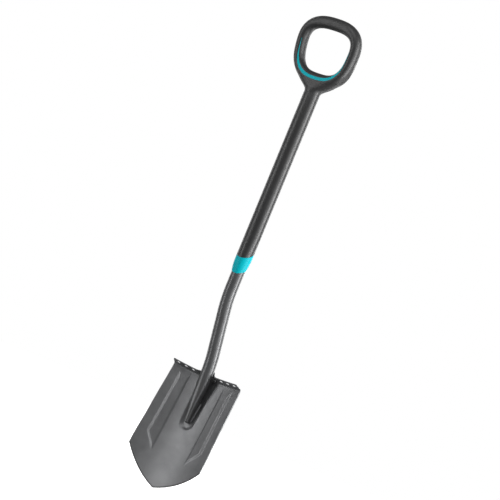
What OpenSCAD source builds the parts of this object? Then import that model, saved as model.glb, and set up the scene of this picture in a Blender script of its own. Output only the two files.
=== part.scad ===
// Pointed garden spade with a D-handle. Millimetres, +Z up along the upper shaft, the dished side
// of the blade faces -Y. The origin is the tip of the blade.

/* [Overall] */
// Height from the tip of the blade to the top of the handle
total_h = 1100; // [1050:5:1150]
// How far the upper shaft's axis stands in front of the blade's tip
shaft_fwd = 11; // [8:1:14]

/* [Blade] */
// Length of the blade from its tip to the fold of the treads
blade_l = 269.5; // [268:0.5:272]
// Width across the two lower corners
blade_low_w = 199; // [192:1:206]
// Width at the fold of the treads
blade_top_w = 185; // [178:1:192]
// Height of the lower corners above the tip
corner_v = 68; // [60:1:80]
// How far each curved cutting edge bulges past the line from corner to tip
edge_bulge = 9; // [5:1:14]
// Thickness of the sheet
sheet_t = 2; // [1.5:0.1:2.5]
// Radius of the dish across the blade
dish_r = 327; // [300:5:400]
// Radius of the slight bow along the blade
bow_r = 3400; // [3000:100:4000]
// Angle between the blade and the shaft's axis at the tip, degrees
tip_lean = 12.5; // [12:0.1:13]
// Height of the two pressed panels above the dish
panel_h = 2.4; // [1.5:0.1:3]
// Depth of the trough under the tube's nose
trough_d = 4; // [3:0.5:5]

/* [Treads] */
// Width of each tread, from the fold to its front edge
tread_w = 21; // [18:0.5:24]
// Rise of the treads towards the front, degrees
tread_rise = 23.5; // [15:0.5:25]
// Length of the chamfer at each outer end
tread_chamfer = 8; // [4:1:12]
// Width of the notch that the tube passes through
notch_w = 36; // [34:1:42]
// Distance of the inner hole from the middle of the blade
hole_first = 39; // [37:1:42]
// Spacing of the three holes in a tread
hole_step = 19.5; // [17:0.5:20]
// Diameter of each hole
hole_d = 8.5; // [6:0.5:9]

/* [Shaft] */
// Outer diameter of the steel tube
tube_d = 28.6; // [27:0.2:29]
// Wall of the steel tube
tube_wall = 1.5; // [1.2:0.1:2]
// Angle of the crank in the tube, degrees
crank_a = 15.6; // [14:0.1:16]
// Radius of both bends of the crank, at the tube's axis
crank_r = 210; // [180:5:230]
// Height at which the crank starts, going down
crank_z = 471; // [460:1:480]
// Length of the crank's straight middle
crank_l = 93; // [90:1:96]
// Length of the tapered nose
nose_l = 112; // [108:1:114]
// Width of the nose at its flattened lower end
nose_d = 10; // [8:0.5:14]
// Depth of the nose at its lower end, from front to back
nose_deep = 14.5; // [13:0.5:15]

/* [Sleeve and collar] */
// Outer diameter of the sleeve, and of the handle's neck
sleeve_d = 36.2; // [34:0.2:38]
// Height at which the sleeve's slanted lower end crosses the axis
sleeve_z = 548; // [520:1:580]
// Length of the collar along the axis
collar_l = 38; // [30:1:45]
// Diameter of the collar at its lower end
collar_low_d = 31; // [30.4:0.2:32]
// Slant of the collar's two ends, degrees, with the low side in front
slant = 31; // [20:1:35]

/* [Handle] */
// Height of the handle above the end of the sleeve
handle_h = 172.5; // [165:0.5:180]
// Lean of the loop towards the front, degrees
handle_lean = 6; // [4:0.5:8]
// Half the width of the loop's middle line
loop_half_w = 68; // [64:0.5:72]
// Half the height of the loop's middle line
loop_half_h = 63; // [58:0.5:64]
// Roundness of the loop: 2 is an ellipse, more is squarer
loop_square = 2.7; // [2.2:0.1:3.2]
// How much wider the loop is at its top than at its bottom
loop_taper = 0.09; // [0:0.01:0.15]
// Thickness of the side bars, seen from the front
bar_w = 22.5; // [20:0.5:28]
// Thickness of the crossbar, seen from the front
crossbar_w = 28; // [24:0.5:30]
// Thickness of the bar below the opening, seen from the front
low_bar_w = 28; // [24:0.5:30]
// Depth of the loop from front to back
bar_depth = 30.5; // [28:0.5:34]
// Widest part of the coloured inlay
inlay_w = 7.5; // [4:0.5:10]

/* [Hidden] */
$fn = 96;
FINE = 360;
VERY_FINE = 1440;
FIT = 0.05;
STEEL = [0.29, 0.30, 0.31];
BLACK = [0.16, 0.16, 0.17];
TEAL = [0.0, 0.66, 0.72];
ZINC = [0.62, 0.63, 0.65];

// Blade: the dish is part of a torus whose axis lies in front of the blade
top_lean = tip_lean - blade_l / bow_r * 180 / PI;
chord_lean = (tip_lean + top_lean) / 2;
bow_y = -bow_r * cos(tip_lean);
bow_z = bow_r * sin(tip_lean);
pan_top_y = bow_y + bow_r * cos(top_lean);
pan_top_z = bow_z - bow_r * sin(top_lean);
blade_half = blade_low_w / 2 + 10;
press_wall = 3;
trough_end_v = 143;
trough_end_r = 18;
trough_top_half = 21;
rim_w = 1.9;
rim_h = 0.6;
panel_in = 49;
panel_out = 73;
panel_top_v = 252;
panel_corner_v = 108;
panel_tip_v = 79;

// Shaft
tube_r = tube_d / 2;
bend_z = crank_r * sin(crank_a);
bend_y = crank_r * (1 - cos(crank_a));
crank_dz = crank_l * cos(crank_a);
crank_dy = crank_l * sin(crank_a);
nose_top_z = crank_z - 2 * bend_z - crank_dz;
nose_y = 2 * bend_y + crank_dy;
nose_shift = -0.4;
weld_low_x = 5.5;
weld_top_x = 8.5;
weld_l = 48;
weld_r = 2.6;
TUBE_STEPS = 32;
BEND_STEPS = 6;
NOSE_STEPS = 8;
neck_z = total_h - handle_h;
tube_top_z = neck_z + 14;
plug_h = 10;
plug_flange = 2;
SINK = 2.2;
screw_z = neck_z + 6;
SHANK_D = 4;
HEAD_D = 8;
HEAD_H = 2;
DRIVE_D = 4;

// Handle
bar_r = bar_w / 2;
loop_mid = handle_h / cos(handle_lean) - crossbar_w / 2 - loop_half_h;
loop_low = loop_mid - loop_half_h;
LOOP_STEPS = 56;
RING_STEPS = 18;
SQUARE = 0.85;
INLAY_STEPS = 36;
INLAY_RING = 8;
INLAY_DEEP = 1.2;
inlay_span = 100;
inlay_side_in = 5.5;
inlay_low_in = 1;
inlay_tilt = 28;
neck_h = 32;
web_half = 55;
web_top = 38;

// ---- helpers ------------------------------------------------------------------------------

// Places what is drawn round the Z axis on the upper shaft's axis
module on_shaft() {
    translate([0, -shaft_fwd, 0]) children();
}

// Half-space above or below a plane that slants down towards the front
module slanted_block(z, up) {
    translate([0, 0, z]) rotate([slant, 0, 0]) translate([-50, -50, up ? 0 : -200]) cube([100, 100, 200]);
}

// Raises the size of c to the power p and keeps its sign
function signed_pow(c, p) = sign(c) * pow(abs(c), p);

// Closed tube of triangles through rings that each hold the same number of points
function tube_faces(rings, m, closed) = [
    for (i = [0:(closed ? rings - 1 : rings - 2)])
        for (j = [0:m - 1])
            let (k = (i + 1) % rings, l = (j + 1) % m)
                each [[i * m + j, k * m + l, k * m + j], [i * m + j, i * m + l, k * m + l]]
];
function flat_points(rings) = [for (r = rings) each r];
function cap_start(m) = [for (j = [1:m - 2]) [0, j + 1, j]];
function cap_end(rings, m) = let (b = (rings - 1) * m) [for (j = [1:m - 2]) [b, b + j, b + j + 1]];

// ---- blade --------------------------------------------------------------------------------

// Layer of the dish, from a distance in front of its front face to a distance behind it
module dish(front, back) {
    translate([0, bow_y, bow_z])
        multmatrix([[0, 0, -1, 0], [1, 0, 0, 0], [0, -1, 0, 0], [0, 0, 0, 1]])
            rotate([0, 0, top_lean - 2])
                rotate_extrude(angle = tip_lean - top_lean + 4, $fn = VERY_FINE)
                    intersection() {
                        translate([bow_r - dish_r, 0]) difference() {
                            circle(r = dish_r + back, $fn = FINE);
                            circle(r = dish_r - front, $fn = FINE);
                        }
                        translate([bow_r - dish_r / 2, -blade_half])
                            square([dish_r / 2 + 20, 2 * blade_half]);
                    }
}

// Prism through the blade of an outline drawn in the blade's own plane
module through_blade() {
    rotate([90 - chord_lean, 0, 0]) linear_extrude(120, center = true) children();
}

module blade_outline() {
    half = blade_low_w / 2;
    top = blade_top_w / 2;
    drop = 20;
    low_half = half + (half - top) * drop / (blade_l - corner_v);
    chord = sqrt(half * half + corner_v * corner_v);
    edge_r = chord * chord / (8 * edge_bulge) + edge_bulge / 2;
    reach = edge_r - edge_bulge;
    intersection() {
        polygon([[-low_half, -drop], [low_half, -drop], [half, corner_v], [top, blade_l], [-top, blade_l],
                 [-half, corner_v]]);
        between_edges(half / 2, corner_v / 2, reach * corner_v / chord, reach * half / chord, edge_r);
    }
}

// The part of the plane inside both circles whose arcs form the cutting edges
module between_edges(x, v, dx, dv, r) {
    intersection() {
        translate([-x + dx, v + dv]) circle(r = r, $fn = FINE);
        translate([x - dx, v + dv]) circle(r = r, $fn = FINE);
    }
}

// Outline of one pressed panel, grown by g on every side
module panel_outline(g) {
    slope = (blade_low_w - blade_top_w) / 2 / (blade_l - corner_v);
    polygon([[panel_in - g, panel_tip_v - 2 * g], [panel_out + g, panel_corner_v - g / 2],
             [panel_out + g - slope * (panel_top_v - panel_corner_v), panel_top_v + g],
             [panel_in - g, panel_top_v + g]]);
}

// Outline of the trough for the nose: a taper with a round lower end
module trough_outline(g) {
    translate([0, trough_end_v + trough_end_r]) circle(r = trough_end_r + g);
    polygon([[-trough_end_r - g, trough_end_v + trough_end_r], [trough_end_r + g, trough_end_v + trough_end_r],
             [trough_top_half + g, blade_l + 5], [-trough_top_half - g, blade_l + 5]]);
}

module tread_holes(r, h, z) {
    for (side = [-1, 1], i = [0:2])
        let (x = hole_first + i * hole_step)
            translate([side * x, x * x / (2 * dish_r) + tread_w * 0.55, z]) cylinder(r = r, h = h);
}

// Both treads: a strip that follows the dish, notched for the tube, with raised rims at its holes
module treads() {
    half = blade_top_w / 2;
    translate([0, pan_top_y, pan_top_z]) rotate([180 - tread_rise, 0, 0]) difference() {
        union() {
            linear_extrude(sheet_t) intersection() {
                translate([0, dish_r]) difference() {
                    circle(r = dish_r + 1, $fn = FINE);
                    circle(r = dish_r - tread_w, $fn = FINE);
                }
                polygon([[-half, -3], [half, -3], [half, 14], [half - tread_chamfer, 50],
                         [-half + tread_chamfer, 50], [-half, 14]]);
            }
            tread_holes(hole_d / 2 + rim_w, sheet_t / 2 + rim_h, -rim_h);
        }
        tread_holes(hole_d / 2, 20, -10);
        translate([0, -20, -10]) linear_extrude(20) {
            translate([-notch_w / 2, 0]) square([notch_w, 60]);
        }
    }
}

module blade() {
    color(STEEL) union() {
        difference() {
            union() {
                intersection() {
                    dish(0, sheet_t);
                    through_blade() blade_outline();
                }
                intersection() {
                    dish(panel_h, sheet_t / 2);
                    through_blade() for (side = [0, 1]) mirror([side, 0]) panel_outline(press_wall);
                }
                intersection() {
                    dish(-sheet_t / 2, trough_d + sheet_t);
                    through_blade() intersection() {
                        trough_outline(press_wall);
                        translate([-100, 0]) square([200, blade_l]);
                    }
                }
            }
            intersection() {
                dish(panel_h - sheet_t, sheet_t + 4);
                through_blade() for (side = [0, 1]) mirror([side, 0]) panel_outline(0);
            }
            intersection() {
                dish(4, trough_d);
                through_blade() trough_outline(0);
            }
        }
        treads();
    }
}

// ---- shaft --------------------------------------------------------------------------------

// Middle line of the tube at angle a into either bend, as [y, z, lean]
function upper_bend(a) = [crank_r * (1 - cos(a)), crank_z - crank_r * sin(a), a];
function lower_bend(a) = [nose_y - crank_r * (1 - cos(a)), nose_top_z + crank_r * sin(a), a];

// Ring round a point of the middle line
function tube_ring(p, r) = [
    for (j = [0:TUBE_STEPS - 1]) let (b = 360 * j / TUBE_STEPS)
        [r * cos(b), p[0] + r * sin(b) * cos(p[2]), p[1] + r * sin(b) * sin(p[2])]
];

// Flattened ring of the nose, from t = 0 at its round top to t = 1 at its narrow lower end
function nose_ring(t) = let (half = (nose_d / 2 + tube_r) / 2 - (tube_r - nose_d / 2) / 2 * sin(180 * t - 90),
                             deep = tube_r - (tube_r - nose_deep / 2) * t)
    [for (j = [0:TUBE_STEPS - 1]) let (b = 360 * j / TUBE_STEPS)
        [half * cos(b), nose_y + nose_shift * t + deep * sin(b), nose_top_z - nose_l * t]];

tube_line = [
    [0, tube_top_z, 0],
    for (i = [0:BEND_STEPS]) upper_bend(crank_a * i / BEND_STEPS),
    for (i = [BEND_STEPS:-1:0]) lower_bend(crank_a * i / BEND_STEPS)
];

module shaft_tube() {
    bore = [for (i = [len(tube_line) - 1:-1:0]) tube_ring(tube_line[i], tube_r - tube_wall)];
    skin = [for (p = tube_line) tube_ring(p, tube_r)];
    nose = [for (i = [1:NOSE_STEPS]) nose_ring(i / NOSE_STEPS)];
    rings = concat(bore, skin, nose);
    n = len(rings);
    color(STEEL) on_shaft() polyhedron(flat_points(rings),
        concat(tube_faces(n, TUBE_STEPS, false), cap_start(TUBE_STEPS), cap_end(n, TUBE_STEPS)));
}

// Point on the trough's floor at the height z above the blade's tip, in the shaft's own frame
function floor_y(z) = shaft_fwd + trough_d + bow_y + sqrt(bow_r * bow_r - pow(bow_z - z, 2));

// Fillet welds along both sides of the nose, from its lower end upwards
module weld_seam() {
    low_z = nose_top_z - nose_l + 3;
    color(STEEL) on_shaft() for (side = [-1, 1]) hull() {
        translate([side * weld_low_x, floor_y(low_z) - 1.5, low_z]) sphere(r = weld_r, $fn = 20);
        translate([side * weld_top_x, floor_y(low_z + weld_l) - 2.5, low_z + weld_l])
            sphere(r = weld_r + 1, $fn = 20);
    }
}

// ---- collar and sleeve --------------------------------------------------------------------

module collar() {
    top_r = sleeve_d / 2;
    low_r = collar_low_d / 2;
    flush_z = sleeve_z - 10;
    low_z = sleeve_z - collar_l - 10;
    drop = flush_z - low_z;
    bulge_r = (drop * drop + pow(top_r - low_r, 2)) / (2 * (top_r - low_r));
    color(TEAL) on_shaft() difference() {
        intersection() {
            union() {
                translate([0, 0, low_z]) rotate_extrude() intersection() {
                    square([top_r, drop]);
                    translate([top_r - bulge_r, drop]) circle(r = bulge_r, $fn = FINE);
                }
                translate([0, 0, flush_z]) cylinder(r = top_r, h = 40);
            }
            slanted_block(sleeve_z, false);
            slanted_block(sleeve_z - collar_l, true);
        }
        translate([0, 0, sleeve_z - 100]) cylinder(r = tube_r + FIT, h = 200);
    }
}

module shaft_sleeve() {
    color(BLACK) on_shaft() difference() {
        translate([0, 0, sleeve_z - 30]) cylinder(d = sleeve_d, h = neck_z - sleeve_z + 30);
        slanted_block(sleeve_z + FIT, false);
        translate([0, 0, sleeve_z - 100]) cylinder(r = tube_r + FIT, h = neck_z - sleeve_z + 200);
    }
}

// ---- handle -------------------------------------------------------------------------------

// Places the handle's own frame, with its origin on the axis at the neck's lower end
module on_neck() {
    on_shaft() translate([0, 0, neck_z]) children();
}

// Point of the loop's middle line at angle a, and its outward normal, both as [x, height]
function loop_height(a) = signed_pow(sin(a), 2 / loop_square);
function loop_point(a) = let (v = loop_height(a))
    [loop_half_w * signed_pow(cos(a), 2 / loop_square) * (1 + loop_taper * v), loop_mid + loop_half_h * v];
function loop_normal(a) = let (d = loop_point(a + 0.5) - loop_point(a - 0.5)) [d[1], -d[0]] / norm(d);

// Half the bar's thickness at angle a: thicker along the crossbar and below the opening
function bar_half(a) = bar_r + (crossbar_w - bar_w) / 2 * pow(max(0, sin(a)), 2)
                             + (low_bar_w - bar_w) / 2 * pow(max(0, -sin(a)), 4);

// How far the bar's surface stands in front of its middle, at out from the middle line
function bar_front(a, out) =
    bar_depth / 2 * pow(1 - pow(abs(out) / bar_half(a), 2 / SQUARE), SQUARE / 2);

// Point at out along the normal and back along +Y from the loop's middle line, leaning forward
function handle_point(a, out, back) =
    let (p = loop_point(a) + out * loop_normal(a))
        [p[0], back * cos(handle_lean) - p[1] * sin(handle_lean),
         p[1] * cos(handle_lean) + back * sin(handle_lean)];

function loop_ring(a) = [
    for (j = [0:RING_STEPS - 1]) let (b = 360 * j / RING_STEPS)
        handle_point(a, bar_half(a) * signed_pow(cos(b), SQUARE), -bar_depth / 2 * signed_pow(sin(b), SQUARE))
];

module handle_loop() {
    rings = [for (i = [0:LOOP_STEPS - 1]) loop_ring(360 * (i + 0.5) / LOOP_STEPS)];
    polyhedron(flat_points(rings), tube_faces(LOOP_STEPS, RING_STEPS, true));
}

// Neck, and the web that spreads from it to the loop's lower bar
module handle_neck() {
    cylinder(d = sleeve_d, h = neck_h);
    rotate([90 + handle_lean, 0, 0]) linear_extrude(0.92 * bar_depth, center = true)
        polygon([[-sleeve_d / 2 + 1, 3], [sleeve_d / 2 - 1, 3], [web_half, web_top],
                 [web_half - 20, loop_low + 2], [20 - web_half, loop_low + 2], [-web_half, web_top]]);
}

module handle_frame() {
    color(BLACK) on_neck() difference() {
        union() {
            handle_loop();
            handle_neck();
        }
        translate([0, 0, -1]) cylinder(r = tube_r + FIT, h = tube_top_z - neck_z + plug_flange + 1.1);
        translate([0, 0, screw_z - neck_z]) rotate([-90, 0, 0]) {
            cylinder(d = SHANK_D + 2 * FIT, h = sleeve_d / 2);
            translate([0, 0, sleeve_d / 2 - SINK]) cylinder(d = HEAD_D + 2 * FIT, h = 20);
        }
    }
}

// Coloured strip let into the loop's front, widest below the opening
module handle_inlay() {
    function strip_ring(a) =
        let (w = inlay_w / 2 * max(0.08, cos((a - 270) * 90 / inlay_span)),
             low = pow(max(0, -sin(a)), 2),
             out = inlay_side_in + (inlay_low_in - inlay_side_in) * low,
             tilt = inlay_tilt * (1 - low),
             front = bar_front(a, out) - INLAY_DEEP / 2)
            [for (j = [0:INLAY_RING - 1])
                let (b = 360 * j / INLAY_RING, s = w * cos(b), t = INLAY_DEEP * sin(b))
                    handle_point(a, -out + s * cos(tilt) - t * sin(tilt),
                                 -front - s * sin(tilt) - t * cos(tilt))];
    rings = [for (i = [0:INLAY_STEPS]) strip_ring(270 + inlay_span * (2 * i / INLAY_STEPS - 1))];
    n = INLAY_STEPS + 1;
    color(TEAL) on_neck()
        polyhedron(flat_points(rings), concat(tube_faces(n, INLAY_RING, false),
                                              cap_start(INLAY_RING), cap_end(n, INLAY_RING)));
}

// ---- hidden pieces ------------------------------------------------------------------------

module tube_plug() {
    color(BLACK) on_shaft() translate([0, 0, tube_top_z]) {
        translate([0, 0, -plug_h]) cylinder(r = tube_r - tube_wall - FIT, h = plug_h);
        cylinder(r = tube_r - FIT, h = plug_flange);
    }
}

// Self-tapping screw through the back of the neck into the tube's wall
module handle_screw() {
    color(ZINC) on_shaft() translate([0, 0, screw_z]) rotate([90, 0, 0]) {
        translate([0, 0, SINK - sleeve_d / 2]) cylinder(d = SHANK_D, h = sleeve_d / 2 - tube_r + 2.5);
        translate([0, 0, SINK - sleeve_d / 2 - HEAD_H]) difference() {
            cylinder(d = HEAD_D, h = HEAD_H);
            translate([0, 0, -1]) cylinder(d = DRIVE_D, h = 2.2, $fn = 6);
        }
    }
}

blade();
weld_seam();
shaft_tube();
collar();
shaft_sleeve();
handle_frame();
handle_inlay();
tube_plug();
handle_screw();
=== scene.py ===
"""Looks of a pointed garden spade with a D-handle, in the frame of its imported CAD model.

Shapes are written in millimetres in the part's own frame (blade tip at the origin, +Z up the shaft,
dished side towards -Y) and turned into metres when their meshes are made. On the blade, x is the
place across the sheet, u the same as a share of its half width, l the length along it from the tip,
and s the distance in front of the fold.
"""

from math import acos, cos, hypot, pi, radians, sin, sqrt, tan

import bpy
import bmesh
from mathutils import Matrix, Vector
from mathutils.bvhtree import BVHTree


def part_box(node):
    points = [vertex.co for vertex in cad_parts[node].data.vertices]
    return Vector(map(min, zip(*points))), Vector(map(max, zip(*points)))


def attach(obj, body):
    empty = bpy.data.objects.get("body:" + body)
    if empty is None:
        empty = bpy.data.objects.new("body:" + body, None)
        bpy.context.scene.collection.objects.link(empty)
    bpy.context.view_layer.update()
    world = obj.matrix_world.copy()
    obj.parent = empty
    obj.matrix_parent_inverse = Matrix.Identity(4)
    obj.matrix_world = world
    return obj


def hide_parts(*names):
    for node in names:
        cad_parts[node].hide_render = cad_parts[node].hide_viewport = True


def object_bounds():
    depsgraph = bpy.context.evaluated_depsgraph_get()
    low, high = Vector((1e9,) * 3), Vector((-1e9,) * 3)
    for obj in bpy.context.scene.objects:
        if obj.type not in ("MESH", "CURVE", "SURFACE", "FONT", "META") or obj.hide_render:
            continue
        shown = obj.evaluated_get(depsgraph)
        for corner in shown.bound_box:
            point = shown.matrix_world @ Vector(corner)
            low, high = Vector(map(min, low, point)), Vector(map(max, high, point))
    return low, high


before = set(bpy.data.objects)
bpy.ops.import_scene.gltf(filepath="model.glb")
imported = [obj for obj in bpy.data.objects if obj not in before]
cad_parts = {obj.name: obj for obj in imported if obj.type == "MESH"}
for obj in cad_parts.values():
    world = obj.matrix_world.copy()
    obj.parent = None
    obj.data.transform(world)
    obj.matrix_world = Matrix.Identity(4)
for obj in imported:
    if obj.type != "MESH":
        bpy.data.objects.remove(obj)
cad_low, cad_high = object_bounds()

MM = 0.001
BODY = "root"

# Blade, as in the part's source
BLADE_L = 269.5               # from the tip to the fold
HALF_LOW = 99.5               # half its width at the lower corners
HALF_TOP = 92.5               # half its width at the fold
CORNER_L = 68                 # from the tip to the lower corners
EDGE_BULGE = 9                # how far the cutting edge bows out
SHEET_T = 2
DISH_R = 327                  # radius of the dish across the blade
BOW_R = 3400                  # radius of the slight curve along it
TIP_LEAN = radians(12.5)
TREAD_RISE = radians(23.5)
TREAD_W = 21

# Shaft, as in the part's source
SHAFT_Y = -11                 # the straight shaft's axis
CRANK_A = radians(15.6)
CRANK_R = 210                 # radius of both bends
CRANK_Z = 471                 # where the crank starts, going down
CRANK_L = 93                  # its straight middle
NOSE_L = 112
TUBE_R = 14.3
SLEEVE_R = 18.1
SLEEVE_Z = 548                # where collar and sleeve meet, on the axis
COLLAR_L = 38
SLANT = tan(radians(31))

# Handle, as in the part's source
LEAN = radians(6)
LOOP_W = 68                   # half the width and half the height of the loop's middle line
LOOP_H = 63
LOOP_POWER = 2 / 2.7
LOOP_TAPER = 0.09             # share by which it widens to its top and narrows to its bottom
BAR_W = 22.5
CROSSBAR_W = 28
BAR_DEPTH = 30.5
NECK_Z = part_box("handle_frame")[0].z / MM
TOP_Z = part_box("handle_frame")[1].z / MM
LOOP_MID = (TOP_Z - NECK_Z) / cos(LEAN) - CROSSBAR_W / 2 - LOOP_H


# ---- small helpers --------------------------------------------------------------------------

def clamp(v, low=0.0, high=1.0):
    return max(low, min(high, v))


def smooth(t):
    """0 below 0, 1 above 1, and an S-curve between."""
    t = clamp(t)
    return t * t * (3 - 2 * t)


def ramp(t):
    """Straight slope from 0 to 1 with softened ends, as a pressed wall has."""
    return mix(clamp(t), smooth(t), 0.6)


def mix(a, b, t):
    return a + (b - a) * t


def signed_pow(c, p):
    return (1 if c >= 0 else -1) * abs(c) ** p


def through(knots, v):
    """Curve through (position, value) knots, level at each of them."""
    if v <= knots[0][0]:
        return knots[0][1]
    for (p0, v0), (p1, v1) in zip(knots, knots[1:]):
        if v <= p1:
            return mix(v0, v1, smooth((v - p0) / (p1 - p0)))
    return knots[-1][1]


def around(count):
    """Angles of that many points round a circle."""
    return [2 * pi * j / count for j in range(count)]


def make_object(name, points, faces):
    """Object from points in millimetres."""
    mesh = bpy.data.meshes.new(name)
    mesh.from_pydata([Vector(p) * MM for p in points], [], faces)
    mesh.validate()
    obj = bpy.data.objects.new(name, mesh)
    bpy.context.scene.collection.objects.link(obj)
    return obj


def shade(obj, sharp):
    """Smooth shading except at edges sharper than that many degrees."""
    obj.data.polygons.foreach_set("use_smooth", [True] * len(obj.data.polygons))
    obj.data.set_sharp_from_angle(angle=radians(sharp))


def apply_modifiers(obj):
    """Replaces the object's mesh with what its modifiers make of it."""
    graph = bpy.context.evaluated_depsgraph_get()
    mesh = bpy.data.meshes.new_from_object(obj.evaluated_get(graph))
    obj.modifiers.clear()
    old, obj.data = obj.data, mesh
    bpy.data.meshes.remove(old)


def loft(rings, loop=False):
    """Points and faces of a closed skin through rings of equally many points each.

    With loop the last ring joins the first. Without it both ends are capped.
    """
    m, n = len(rings[0]), len(rings)
    points = [p for ring in rings for p in ring]
    faces = []
    for i in range(n if loop else n - 1):
        for j in range(m):
            a, b = i * m, ((i + 1) % n) * m
            k = (j + 1) % m
            faces.append((a + j, a + k, b + k, b + j))
    if not loop:
        faces.append(tuple(range(m - 1, -1, -1)))
        faces.append(tuple((n - 1) * m + j for j in range(m)))
    return points, faces


def together(first, second):
    """Points and faces of two skins as one."""
    shift = len(first[0])
    return first[0] + second[0], first[1] + [tuple(k + shift for k in f) for f in second[1]]


def outward(obj):
    """Turns every face of a closed mesh outwards."""
    bm = bmesh.new()
    bm.from_mesh(obj.data)
    bmesh.ops.recalc_face_normals(bm, faces=bm.faces)
    bm.to_mesh(obj.data)
    bm.free()


def make_closed(name, skin, sharp):
    """Object of a closed skin, facing outwards and shaded smooth except at sharp edges."""
    obj = make_object(name, *skin)
    outward(obj)
    shade(obj, sharp)
    return obj


def finish_piece(obj, material, slot, *nodes):
    """Gives a piece its material, its body and the CAD nodes it stands for. Its slot argument is not
    used.
    """
    obj.data.materials.clear()
    obj.data.materials.append(material)
    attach(obj, BODY)
    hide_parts(*nodes)
    return obj


# ---- materials ------------------------------------------------------------------------------

class Nodes:
    """A material's node tree around one Principled shader, with textures in object space."""

    def __init__(self, name, roughness, metallic=0.0, specular=0.5):
        self.material = bpy.data.materials.new(name)
        self.material.use_nodes = True
        self.tree = self.material.node_tree
        self.shader = self.tree.nodes["Principled BSDF"]
        self.shader.inputs["Roughness"].default_value = roughness
        self.shader.inputs["Metallic"].default_value = metallic
        self.shader.inputs["Specular IOR Level"].default_value = specular
        self.place = self.tree.nodes.new("ShaderNodeTexCoord").outputs["Object"]
        self.bump = None

    def link(self, a, b):
        self.tree.links.new(a, b)

    def noise(self, per_metre, detail=3.0, stretch=(1, 1, 1)):
        """Noise with about that many grains to the metre, squeezed along each axis by stretch."""
        mapping = self.tree.nodes.new("ShaderNodeMapping")
        mapping.inputs["Scale"].default_value = stretch
        self.link(self.place, mapping.inputs["Vector"])
        node = self.tree.nodes.new("ShaderNodeTexNoise")
        node.inputs["Scale"].default_value = per_metre
        node.inputs["Detail"].default_value = detail
        self.link(mapping.outputs["Vector"], node.inputs["Vector"])
        return node.outputs["Fac"]

    def spread(self, value, low, high, out_low=0.0, out_high=1.0):
        """Value with its range from low to high stretched over the range from out_low to out_high."""
        node = self.tree.nodes.new("ShaderNodeMapRange")
        for name, v in (("From Min", low), ("From Max", high), ("To Min", out_low), ("To Max", out_high)):
            node.inputs[name].default_value = v
        self.link(value, node.inputs["Value"])
        return node.outputs["Result"]

    def patches(self, per_metre, detail, low=0.35, high=0.65):
        """Noise from 0 to 1 in clear patches."""
        return self.spread(self.noise(per_metre, detail), low, high)

    def mask(self, attribute):
        """Value that the mesh carries at its points under that name."""
        node = self.tree.nodes.new("ShaderNodeAttribute")
        node.attribute_name = attribute
        return node.outputs["Fac"]

    def blend(self, factor, a, b):
        """Colour between a and b, each a socket or three numbers."""
        node = self.tree.nodes.new("ShaderNodeMix")
        node.data_type = "RGBA"
        self.link(factor, node.inputs["Factor"])
        for name, value in (("A", a), ("B", b)):
            socket = next(s for s in node.inputs if s.name == name and s.type == "RGBA")
            if isinstance(value, tuple):
                socket.default_value = (*value, 1)
            else:
                self.link(value, socket)
        return next(s for s in node.outputs if s.type == "RGBA")

    def raise_by(self, value, height_mm, strength=1.0):
        """Adds a bump of that height on top of the bumps so far."""
        node = self.tree.nodes.new("ShaderNodeBump")
        node.inputs["Distance"].default_value = height_mm * MM
        node.inputs["Strength"].default_value = strength
        self.link(value, node.inputs["Height"])
        if self.bump:
            self.link(self.bump, node.inputs["Normal"])
        self.bump = node.outputs["Normal"]

    def done(self, colour, roughness=None):
        """Joins colour, roughness and bumps to the shader."""
        self.link(colour, self.shader.inputs["Base Color"])
        if roughness is not None:
            self.link(roughness, self.shader.inputs["Roughness"])
        self.link(self.bump, self.shader.inputs["Normal"])
        return self.material


def scaled(colour, by):
    return tuple(clamp(c * by) for c in colour)


def coated_steel(name, colour, roughness, metallic, painted_edge_shade=False):
    """Powder-coated steel: orange peel, specks, uneven sheen, and faint drawing marks along Z.

    With that flag set, the coat is painted darker along the cutting edge where the mesh's mask says so:
    painted shade standing in for the dark reflection of the edge's bevel.
    """
    n = Nodes(name, roughness, metallic)
    tone = n.blend(n.patches(28, 4), scaled(colour, 0.92), scaled(colour, 1.08))
    tone = n.blend(n.patches(1500, 2, 0.62, 0.72), tone, scaled(colour, 1.35))
    if painted_edge_shade:
        # painted shade: the coat darkened along the cutting edge, for the dark reflection of its bevel
        tone = n.blend(n.mask("edge_shade_mask"), tone, scaled(colour, 0.25))
    n.raise_by(n.noise(420, 2, (1, 1, 0.03)), 0.05, 0.2)
    n.raise_by(n.noise(750, 2), 0.03, 0.2)
    sheen = n.spread(n.noise(60, 5), 0.3, 0.7, roughness - 0.05, roughness + 0.06)
    return n.done(tone, sheen)


def moulded_plastic(name, colour, roughness, grain, specular=0.5):
    """Injection-moulded plastic: fine spark-eroded grain and slightly uneven gloss."""
    n = Nodes(name, roughness, 0.0, specular)
    tone = n.blend(n.patches(22, 3), scaled(colour, 0.94), scaled(colour, 1.06))
    n.raise_by(n.noise(1900, 2), 0.01, grain)
    sheen = n.spread(n.noise(90, 4), 0.3, 0.7, roughness - 0.04, roughness + 0.05)
    return n.done(tone, sheen)


def weld_metal(name, colour):
    """Coated weld bead: coarse spatter under the paint."""
    n = Nodes(name, 0.5, 0.4)
    tone = n.blend(n.patches(500, 3, 0.4, 0.6), scaled(colour, 0.7), scaled(colour, 1.1))
    n.raise_by(n.noise(700, 4), 0.25, 0.7)
    return n.done(tone)


def zinc_plate(name):
    """Zinc-plated screw: bluish grey with a fine uneven grain."""
    n = Nodes(name, 0.32, 1.0)
    tone = n.blend(n.patches(900, 3), (0.42, 0.44, 0.47), (0.58, 0.6, 0.62))
    n.raise_by(n.noise(2600, 2), 0.03, 0.5)
    return n.done(tone)


STEEL_GREY = (0.072, 0.073, 0.075)
BLACK = (0.014, 0.014, 0.0145)
TEAL = (0.0, 0.32, 0.375)

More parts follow.
